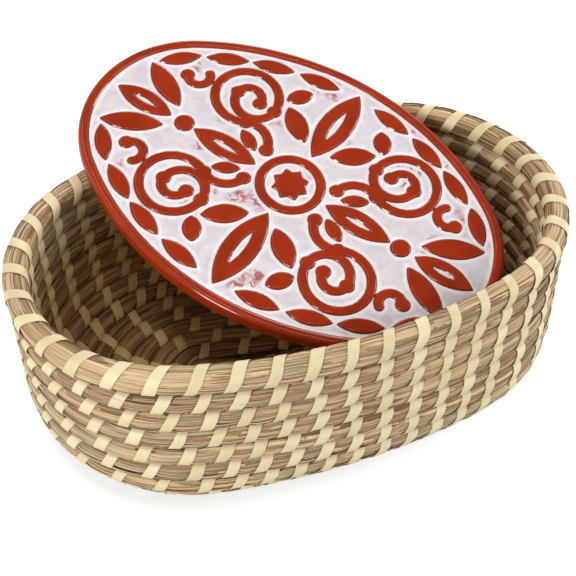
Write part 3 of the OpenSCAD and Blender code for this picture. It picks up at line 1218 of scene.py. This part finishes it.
@dataclass(frozen=True)
class Oval:
    """An oval of four arcs: half length, half width and radius of its ends, in millimetres."""

    half_l: float
    half_w: float
    end_r: float

    def inset(self, size: float) -> "Oval":
        """The oval that lies further in by a size."""
        return Oval(self.half_l - size, self.half_w - size, self.end_r - size)

    @property
    def reach(self) -> float:
        """Way from the middle to the middle of an end arc."""
        return self.half_l - self.end_r

    @property
    def big_r(self) -> float:
        """Radius of the long arcs."""
        return (self.reach**2 + self.half_w**2 - self.end_r**2) / (2 * (self.half_w - self.end_r))

    @property
    def drop(self) -> float:
        """Way from the middle to the middle of a long arc."""
        return self.big_r - self.half_w

    def outline(self, angle: Array) -> Array:
        """Finds the points whose outward direction has given angles.

        Args:
            angle: the angles, in radians.

        Returns:
            One row of x, y for each angle.
        """
        x, y = np.cos(angle), np.sin(angle)
        side = np.abs(y) > math.sin(math.atan2(self.drop, self.reach))
        flat_x = np.where(side, self.big_r * x, self.end_r * x + np.sign(x) * self.reach)
        flat_y = np.where(side, self.big_r * y - np.sign(y) * self.drop, self.end_r * y)
        return np.stack([flat_x, flat_y], -1)

    def depth(self, x: Array, y: Array) -> Array:
        """Finds how far inside the outline places lie.

        Args:
            x: places across.
            y: places up.

        Returns:
            The depth at each place, negative outside.
        """
        px, py = np.abs(x), np.abs(y)
        ends = (py + self.drop) * self.reach < self.drop * px
        end_depth = self.end_r - np.hypot(px - self.reach, py)
        return np.where(ends, end_depth, self.big_r - np.hypot(px, py + self.drop))


def heading_parts(heading: float) -> Pair:
    """Cosine and sine of a heading in degrees."""
    return math.cos(math.radians(heading)), math.sin(math.radians(heading))


@dataclass(frozen=True)
class Ornament:
    """Raised leaves, scrolls and beads of the tile, in millimetres. One quarter is mirrored to four.

    A leaf has a foot, a heading, a length and a width. An arc has a middle, a radius and the headings of its
    ends. Headings are in degrees.
    """

    line_w: float = 5.0
    bead_r: float = 4.0
    ring_r: float = 17.0
    star_r: float = 7.5
    knob: Pair = (70.5, 0.0)
    knob_r: float = 5.5
    scroll: Pair = (52.5, 37.0)
    scroll_r: float = 18.5
    scroll_foot: float = 240.0
    turns: tuple[Pair, Pair] = ((6.2, 12.3), (1.3, 7.4))
    stem_r: float = 13.5
    hook: Arc = ((83.0, 33.0), 6.5, 130.0, 330.0)
    veined_leaves: tuple[Leaf, ...] = (
        ((23.0, 0.0), 0.0, 41.0, 15.0), ((79.5, 0.0), 0.0, 36.0, 14.0), ((0.0, 23.0), 90.0, 53.5, 19.0),
    )
    plain_leaves: tuple[Leaf, ...] = (
        ((28.0, 7.6), 30.0, 16.0, 7.5), ((8.5, 29.0), 38.0, 26.0, 12.0), ((79.5, 8.0), 29.0, 35.0, 12.5),
    )
    scroll_leaf: tuple[float, ...] = (23.1, 150.0, 126.0, 16.0, 10.0)
    border_headings: tuple[float, ...] = (81.0, 70.5, 60.5, 43.0)
    border_leaf: Pair = (25.0, 8.8)
    border_inset: float = 7.0
    vein_edge: float = 0.3
    fuller: float = 0.45
    field_oval: Oval = Oval(120.5, 80.5, 61.5)

    def disc(self, x: Array, y: Array, at: Pair, r: float) -> Array:
        """Distance to a disc."""
        return np.hypot(x - at[0], y - at[1]) - r

    def leaf(self, x: Array, y: Array, shape: Leaf) -> Array:
        """Measures the distance to a pointed leaf.

        Args:
            x: places across.
            y: places up.
            shape: the leaf.

        Returns:
            The distance at each place, negative on the leaf.
        """
        foot, heading, length, width = shape
        c, s = heading_parts(heading)
        u, v = (x - foot[0]) * c + (y - foot[1]) * s, (y - foot[1]) * c - (x - foot[0]) * s
        r = (length**2 + width**2) / (4 * width)
        return np.hypot(u - length / 2, np.abs(v) + r - width / 2) - r

    def veined(self, x: Array, y: Array, shape: Leaf) -> Array:
        """Measures the distance to a leaf with an open vein.

        Args:
            x: places across.
            y: places up.
            shape: the leaf.

        Returns:
            The distance at each place, negative on the leaf.
        """
        foot, heading, length, width = shape
        c, s = heading_parts(heading)
        root = (foot[0] + c * length / 4, foot[1] + s * length / 4)
        vein = self.leaf(x, y, (root, heading, length / 2, width / 4))
        return np.maximum(self.leaf(x, y, shape), -vein - self.vein_edge)

    def arc(self, x: Array, y: Array, shape: Arc) -> Array:
        """Measures the distance to a bent line of the line's width, with a bead on its far end.

        Args:
            x: places across.
            y: places up.
            shape: the arc.

        Returns:
            The distance at each place, negative on the line.
        """
        at, r, start, stop = shape
        angle = (np.degrees(np.arctan2(y - at[1], x - at[0])) - start) % 360
        near, far = ((at[0] + r * c, at[1] + r * s) for c, s in map(heading_parts, (start, stop)))
        line = np.where(angle <= stop - start, np.abs(self.disc(x, y, at, r)), math.inf)
        line = np.minimum(line, np.minimum(self.disc(x, y, near, 0), self.disc(x, y, far, 0)))
        return np.minimum(line - self.line_w / 2, self.disc(x, y, far, self.bead_r))

    def spot(self, r: float, heading: float) -> Pair:
        """A place round the middle of the scroll."""
        c, s = heading_parts(heading)
        return self.scroll[0] + r * c, self.scroll[1] + r * s

    def arcs(self) -> tuple[Arc, ...]:
        """Lays out the three turns of the scroll, its stem and the hook beside it.

        Returns:
            The arcs.
        """
        (outer_in, outer_r), (inner_in, inner_r) = self.turns
        stem = self.spot(self.scroll_r + self.stem_r, self.scroll_foot)
        return (
            (self.scroll, self.scroll_r, self.scroll_foot - 360, 180),
            ((self.scroll[0] - outer_in, self.scroll[1]), outer_r, 180, 360),
            ((self.scroll[0] - inner_in, self.scroll[1]), inner_r, 0, 180),
            (stem, self.stem_r, self.scroll_foot - 180, 170),
            self.hook,
        )

    def leaves(self) -> list[Leaf]:
        """Lays out the plain leaves: those of the field, the one on the scroll and those along the border.

        Returns:
            The leaves.
        """
        r, heading, *shape = self.scroll_leaf
        found = [*self.plain_leaves, (self.spot(r, heading), *shape)]
        length, width = self.border_leaf
        for heading in self.border_headings:
            x, y = self.field_oval.inset(self.border_inset).outline(np.radians([heading]))[0]
            c, s = heading_parts(heading - 90)
            found.append(((x - c * length / 2, y - s * length / 2), heading - 90, length, width))
        return found

    def distance(self, across: Array, up: Array) -> Array:
        """Measures the distance to the nearest edge of the ornament.

        Args:
            across: places along the tile.
            up: places across the tile.

        Returns:
            The distance at each place, negative on the ornament.
        """
        x, y = np.abs(across), np.abs(up)
        forms = [
            np.abs(np.hypot(x, y) - self.ring_r) - self.line_w / 2,
            np.maximum(x, y) - self.star_r,
            (x + y) / math.sqrt(2) - self.star_r,
            self.disc(x, y, self.knob, self.knob_r),
            self.disc(x, y, self.spot(self.scroll_r, self.scroll_foot), self.bead_r),
        ]
        forms += [self.veined(x, y, leaf) for leaf in self.veined_leaves]
        forms += [self.leaf(x, y, leaf) for leaf in self.leaves()]
        forms += [self.arc(x, y, arc) for arc in self.arcs()]
        return np.minimum.reduce(forms) - self.fuller


@dataclass
class WarmingTile:
    """The loose oval tile: a red border and raised ornament round a white glazed ground.

    Sizes are in millimetres and angles in degrees. Each ring of the profile has a way in from the outline and
    a height.
    """

    plate: Oval = Oval(127.0, 87.0, 68.0)
    ornament: Ornament = Ornament()
    border_w: float = 6.5
    border_points: int = 264
    profile: tuple[Pair, ...] = (
        (1.3, 0.0), (0.5, 0.25), (0.1, 0.9), (0.0, 2.0), (0.0, 4.6), (0.15, 5.9), (0.55, 7.0), (1.2, 7.8),
        (2.1, 8.3), (3.1, 8.5), (4.1, 8.4), (5.0, 8.05), (5.8, 7.45), (6.4, 6.7), (6.8, 6.1), (7.6, 5.6),
    )
    # painted shade along the inner foot of the border and the foot of the relief: ring height, strength,
    # inset and width
    foot_z: float = 6.7
    foot_shade: float = 0.9
    foot_in: float = 0.1
    foot_w: float = 0.5
    field_z: float = 6.1
    relief: float = 1.9
    soft: float = 1.5
    groove_w: float = 0.6
    groove_slope: float = 0.9
    glaze: float = 0.75
    swell: float = 0.3
    swell_w: float = 0.7
    lap: float = 0.9
    lap_slope: float = 0.9
    tuck: float = 2.0
    cell: float = 0.66
    under: float = 0.9
    middle: Place = (10.6, 36.348, 93.237)
    tilt: float = 17.3
    turn: float = -51.5
    x: Array = field(init=False)
    y: Array = field(init=False)
    depth: Array = field(init=False)
    motif: Array = field(init=False)

    def __post_init__(self) -> None:
        """Measures how far inside the border and how far from the ornament each place of the field lies."""
        room = self.plate.inset(self.border_w - 1)
        sides = [np.arange(-half, half, self.cell) for half in (room.half_l, room.half_w)]
        self.x, self.y = np.meshgrid(*sides)
        self.depth = self.plate.depth(self.x, self.y) - self.border_w
        self.motif = self.ornament.distance(self.x, self.y)

    def placed(self, points: Array) -> Array:
        """Moves points of the tile's own frame to their place on the rim.

        Args:
            points: the points, in millimetres.

        Returns:
            The moved points, in metres.
        """
        x, y, z = points.T
        (c, s), (flat, steep) = heading_parts(self.turn), heading_parts(self.tilt)
        across, up = x * c - y * s, x * s + y * c
        turned = np.stack([across, up * flat - z * steep, up * steep + z * flat], -1)
        return (turned + np.array(self.middle)) * MM

    def border(self) -> tuple[Array, list]:
        """Builds the underside, the edge and the rounded border.

        Returns:
            Points in millimetres, and faces.
        """
        count = self.border_points
        angle = np.linspace(0, FULL_TURN, count, endpoint=False)
        ovals = [(self.plate.inset(way).outline(angle), z) for way, z in self.profile]
        rings = [np.column_stack([oval, np.full(count, z)]) for oval, z in ovals]
        faces: list = [tuple(range(count - 1, -1, -1))]
        for first in range(0, count * (len(rings) - 1), count):
            for k in range(count):
                a, b = first + k, first + (k + 1) % count
                faces.append((a, b, b + count, a + count))
        return np.concatenate(rings), faces

    def grid(self, height: Array, keep: Array) -> tuple[Array, list, Array]:
        """Builds a height field.

        Args:
            height: the height at each grid point.
            keep: which grid points belong to it.

        Returns:
            Points in millimetres, faces, and the grid places of the points.
        """
        rows, cols = height.shape
        cells = keep[:-1, :-1] & keep[1:, :-1] & keep[:-1, 1:] & keep[1:, 1:]
        used = np.zeros_like(keep)
        for dr in (0, 1):
            for dc in (0, 1):
                used[dr:rows - 1 + dr, dc:cols - 1 + dc] |= cells
        number = np.cumsum(used.ravel()).reshape(rows, cols) - 1
        r, c = np.nonzero(cells)
        faces = np.stack([number[r, c], number[r, c + 1], number[r + 1, c + 1], number[r + 1, c]], -1)
        return np.stack([self.x[used], self.y[used], height[used]], -1), faces.tolist(), used

    def closed(self, points: Array, faces: list) -> tuple[Array, list]:
        """Gives a sheet of squares an underside and a wall along its edges.

        Args:
            points: the sheet's points.
            faces: its squares.

        Returns:
            Points, with those of the underside after those of the sheet, and faces.
        """
        count = len(points)
        squares = np.array(faces)
        sides = np.concatenate([squares[:, [i, (i + 1) % 4]] for i in range(4)])
        edge = sides[~np.isin(sides @ [count, 1], sides @ [1, count])]
        walls = np.stack([edge[:, 1], edge[:, 0], edge[:, 0] + count, edge[:, 1] + count], -1)
        lower = points - np.array([0.0, 0.0, self.under])
        return np.concatenate([points, lower]), faces + (squares[:, ::-1] + count).tolist() + walls.tolist()

    def dress(self, piece: Object, finish: Material, node: str) -> None:
        """Gives a piece of the tile its material and hands it over.

        Args:
            piece: the piece.
            finish: its material.
            node: the CAD node that it replaces.
        """
        piece.data.materials.append(finish)
        piece.data.shade_smooth()
        hand_over(piece, Body.TILE, (node,))

    def build_body(self, clay: Material) -> None:
        """Builds the red body with its border and relief.

        Args:
            clay: the material of the body.
        """
        dome = np.clip(-self.motif / self.soft, 0, 1)
        groove = np.clip(self.motif, 0, self.groove_w) * self.groove_slope
        raised = self.field_z + self.relief * np.sqrt(1 - (1 - dome) ** 2) - groove
        points, faces = self.border()
        top, top_faces, used = self.grid(raised, self.depth > -self.tuck)
        faces += [tuple(i + len(points) for i in face) for face in top_faces]
        # painted shade along the inner foot of the border and at the foot of the relief
        edge_foot_shade = np.where(points[:, 2] == self.foot_z, self.foot_shade, 0.0)
        foot = np.concatenate([edge_foot_shade, np.exp(-(((self.motif[used] + self.foot_in) / self.foot_w) ** 2))])
        body = mesh_object("tile_body", self.placed(np.concatenate([points, top])), faces=faces, foot=foot)
        self.dress(body, clay, "warming_tile")

    def build_ground(self, white: Material) -> None:
        """Builds the white ground between the ornament.

        Args:
            white: the material of the ground.
        """
        away = np.minimum(self.motif, self.depth)
        bead = self.swell * np.exp(-np.maximum(away, 0) / self.swell_w)
        level = self.field_z + self.glaze + bead + np.minimum(away, 0) * self.lap_slope
        points, faces, used = self.grid(level, (self.depth > -self.tuck) & (self.motif > -self.lap))
        points, faces = self.closed(points, faces)
        ground = mesh_object("tile_ground", self.placed(points), faces=faces, away=np.tile(away[used], 2))
        self.dress(ground, white, "tile_glaze")

    def build(self, clay: Material, white: Material) -> None:
        """Builds the body, then the ground."""
        self.build_body(clay)
        self.build_ground(white)


@dataclass(frozen=True)
class Lamp:
    """A soft lamp: its place, its length and width, its power in watts and the direction of its length."""

    name: str
    place: Place
    size: Pair
    power: float
    along: Place = (0.0, 0.0, 1.0)

    def hang(self, aim: Place) -> None:
        """Hangs the lamp and turns it to a place.

        Args:
            aim: the place that it lights.
        """
        data = bpy.data.lights.new(self.name, "AREA")
        data.shape, data.energy = "RECTANGLE", self.power
        data.size, data.size_y = self.size
        back = (Vector(self.place) - Vector(aim)).normalized()
        side = (Vector(self.along) - back * back.dot(Vector(self.along))).normalized()
        lamp = bpy.data.objects.new(self.name, data)
        lamp.location = self.place
        lamp.rotation_euler = Matrix((side, back.cross(side), back)).transposed().to_euler()
        bpy.context.scene.collection.objects.link(lamp)


@dataclass(frozen=True)
class Studio:
    """White floor, soft light and the camera of the picture."""

    position: Place = (-0.13838, -0.37171, 0.44260)
    target: Place = (0.0, 0.0, 0.0)
    lens: float = 61.7
    sensor: float = 36.0
    clip: Pair = (0.01, 50.0)
    shift: Pair = (-0.0104, 0.1145)
    aim: Place = (0.0, 0.0, 0.06)
    sky: float = 0.37
    ceiling: Ends = (0.45, 0.8, 1.0, 0.25)
    floor_half: float = 6.0
    floor_grey: Colour = (0.6, 0.6, 0.6)
    floor_glow: Ends = (0.2, 0.6, 0.52, 0.9)
    lamps: tuple[Lamp, ...] = (
        Lamp("key", (-1.1, -0.75, 0.62), (0.35, 0.35), 13.2),
        Lamp("fill", (0.8, -0.75, 0.85), (0.8, 0.8), 3.2),
        Lamp("right", (1.25, -0.12, 0.45), (0.5, 0.5), 9.5),
        Lamp("back", (0.45, 1.15, 0.6), (0.7, 0.7), 8.0),
        Lamp("strip_left", (-0.356, 0.31, 1.1), (0.7, 0.03), 1.4, (0.055, 1.0, 0.0)),
        Lamp("strip_front", (-0.17, -0.265, 1.1), (0.6, 0.03), 1.4, (0.69, -0.72, 0.0)),
    )

    def background_rays(self, graph: Graph) -> Socket:
        """Finds the rays that see the white background: those of the camera, of gloss and of glass.

        Args:
            graph: the graph that asks.

        Returns:
            A socket that is 1 for these rays.
        """
        rays = graph.add("ShaderNodeLightPath").outputs
        mirrored = graph.maths("MAXIMUM", rays["Is Glossy Ray"], rays["Is Transmission Ray"])
        return graph.maths("MAXIMUM", rays["Is Camera Ray"], mirrored)

    def floor(self) -> None:
        """Lays a pale floor that the camera sees as white, with a soft shadow on it."""
        corners = self.floor_half * np.array([(-1, -1, 0), (1, -1, 0), (1, 1, 0), (-1, 1, 0)])
        floor = mesh_object("floor", corners, faces=[(0, 1, 2, 3)])
        made, graph, shader = material("floor")
        seen = self.background_rays(graph)
        away = graph.add("ShaderNodeVectorMath", {0: graph.place()}, operation="LENGTH").outputs["Value"]
        graph.feed(shader, {
            "Base Color": self.floor_grey,
            "Roughness": 1.0,
            "Specular IOR Level": 0.0,
            "Emission Color": WHITE,
            "Emission Strength": graph.maths("MULTIPLY", seen, graph.mapped(away, self.floor_glow)),
        })
        floor.data.materials.append(made)

    def world(self) -> None:
        """Sets even light from all round, white behind, and a dimmer ceiling for the gloss to show."""
        world = bpy.data.worlds.new("studio")
        bpy.context.scene.world = world
        world.use_nodes = True
        graph = Graph(world.node_tree)
        seen = self.background_rays(graph)
        up = graph.add("ShaderNodeSeparateXYZ", {0: graph.place("Generated")}).outputs["Z"]
        white = graph.mapped(up, self.ceiling)
        even = graph.add("ShaderNodeBackground", {"Color": WHITE, "Strength": self.sky})
        behind = graph.add("ShaderNodeBackground", {"Color": WHITE, "Strength": white})
        both = graph.add("ShaderNodeMixShader", {0: seen, 1: even.outputs[0], 2: behind.outputs[0]})
        graph.add("ShaderNodeOutputWorld", {"Surface": both.outputs[0]})

    def camera(self) -> None:
        """Looks down at the basket from the front left."""
        data = bpy.data.cameras.new("camera")
        data.lens, data.sensor_width = self.lens, self.sensor
        data.shift_x, data.shift_y = self.shift
        data.clip_start, data.clip_end = self.clip
        camera = bpy.data.objects.new("camera", data)
        camera.location = self.position
        ahead = Vector(self.target) - Vector(self.position)
        camera.rotation_euler = ahead.to_track_quat("-Z", "Y").to_euler()
        bpy.context.scene.collection.objects.link(camera)
        bpy.context.scene.camera = camera

    def build(self) -> None:
        """Sets the whole stage."""
        self.floor()
        self.world()
        for lamp in self.lamps:
            lamp.hang(self.aim)
        self.camera()
        bpy.context.scene.view_settings.view_transform = "Standard"


def main() -> None:
    """Builds the basket, the tile and the stage."""
    coil = CoilRun(CoilPath())
    stitching = Stitching(coil)
    GrassCoil(coil, stitching).build(GrassFinish().make(), CoreShadeFinish().make())
    LeafStitches(coil, stitching).build(StripFinish().make())
    WarmingTile().build(ClayFinish().make(), GlazeFinish().make())
    Studio().build()


if __name__ == "__main__":
    main()
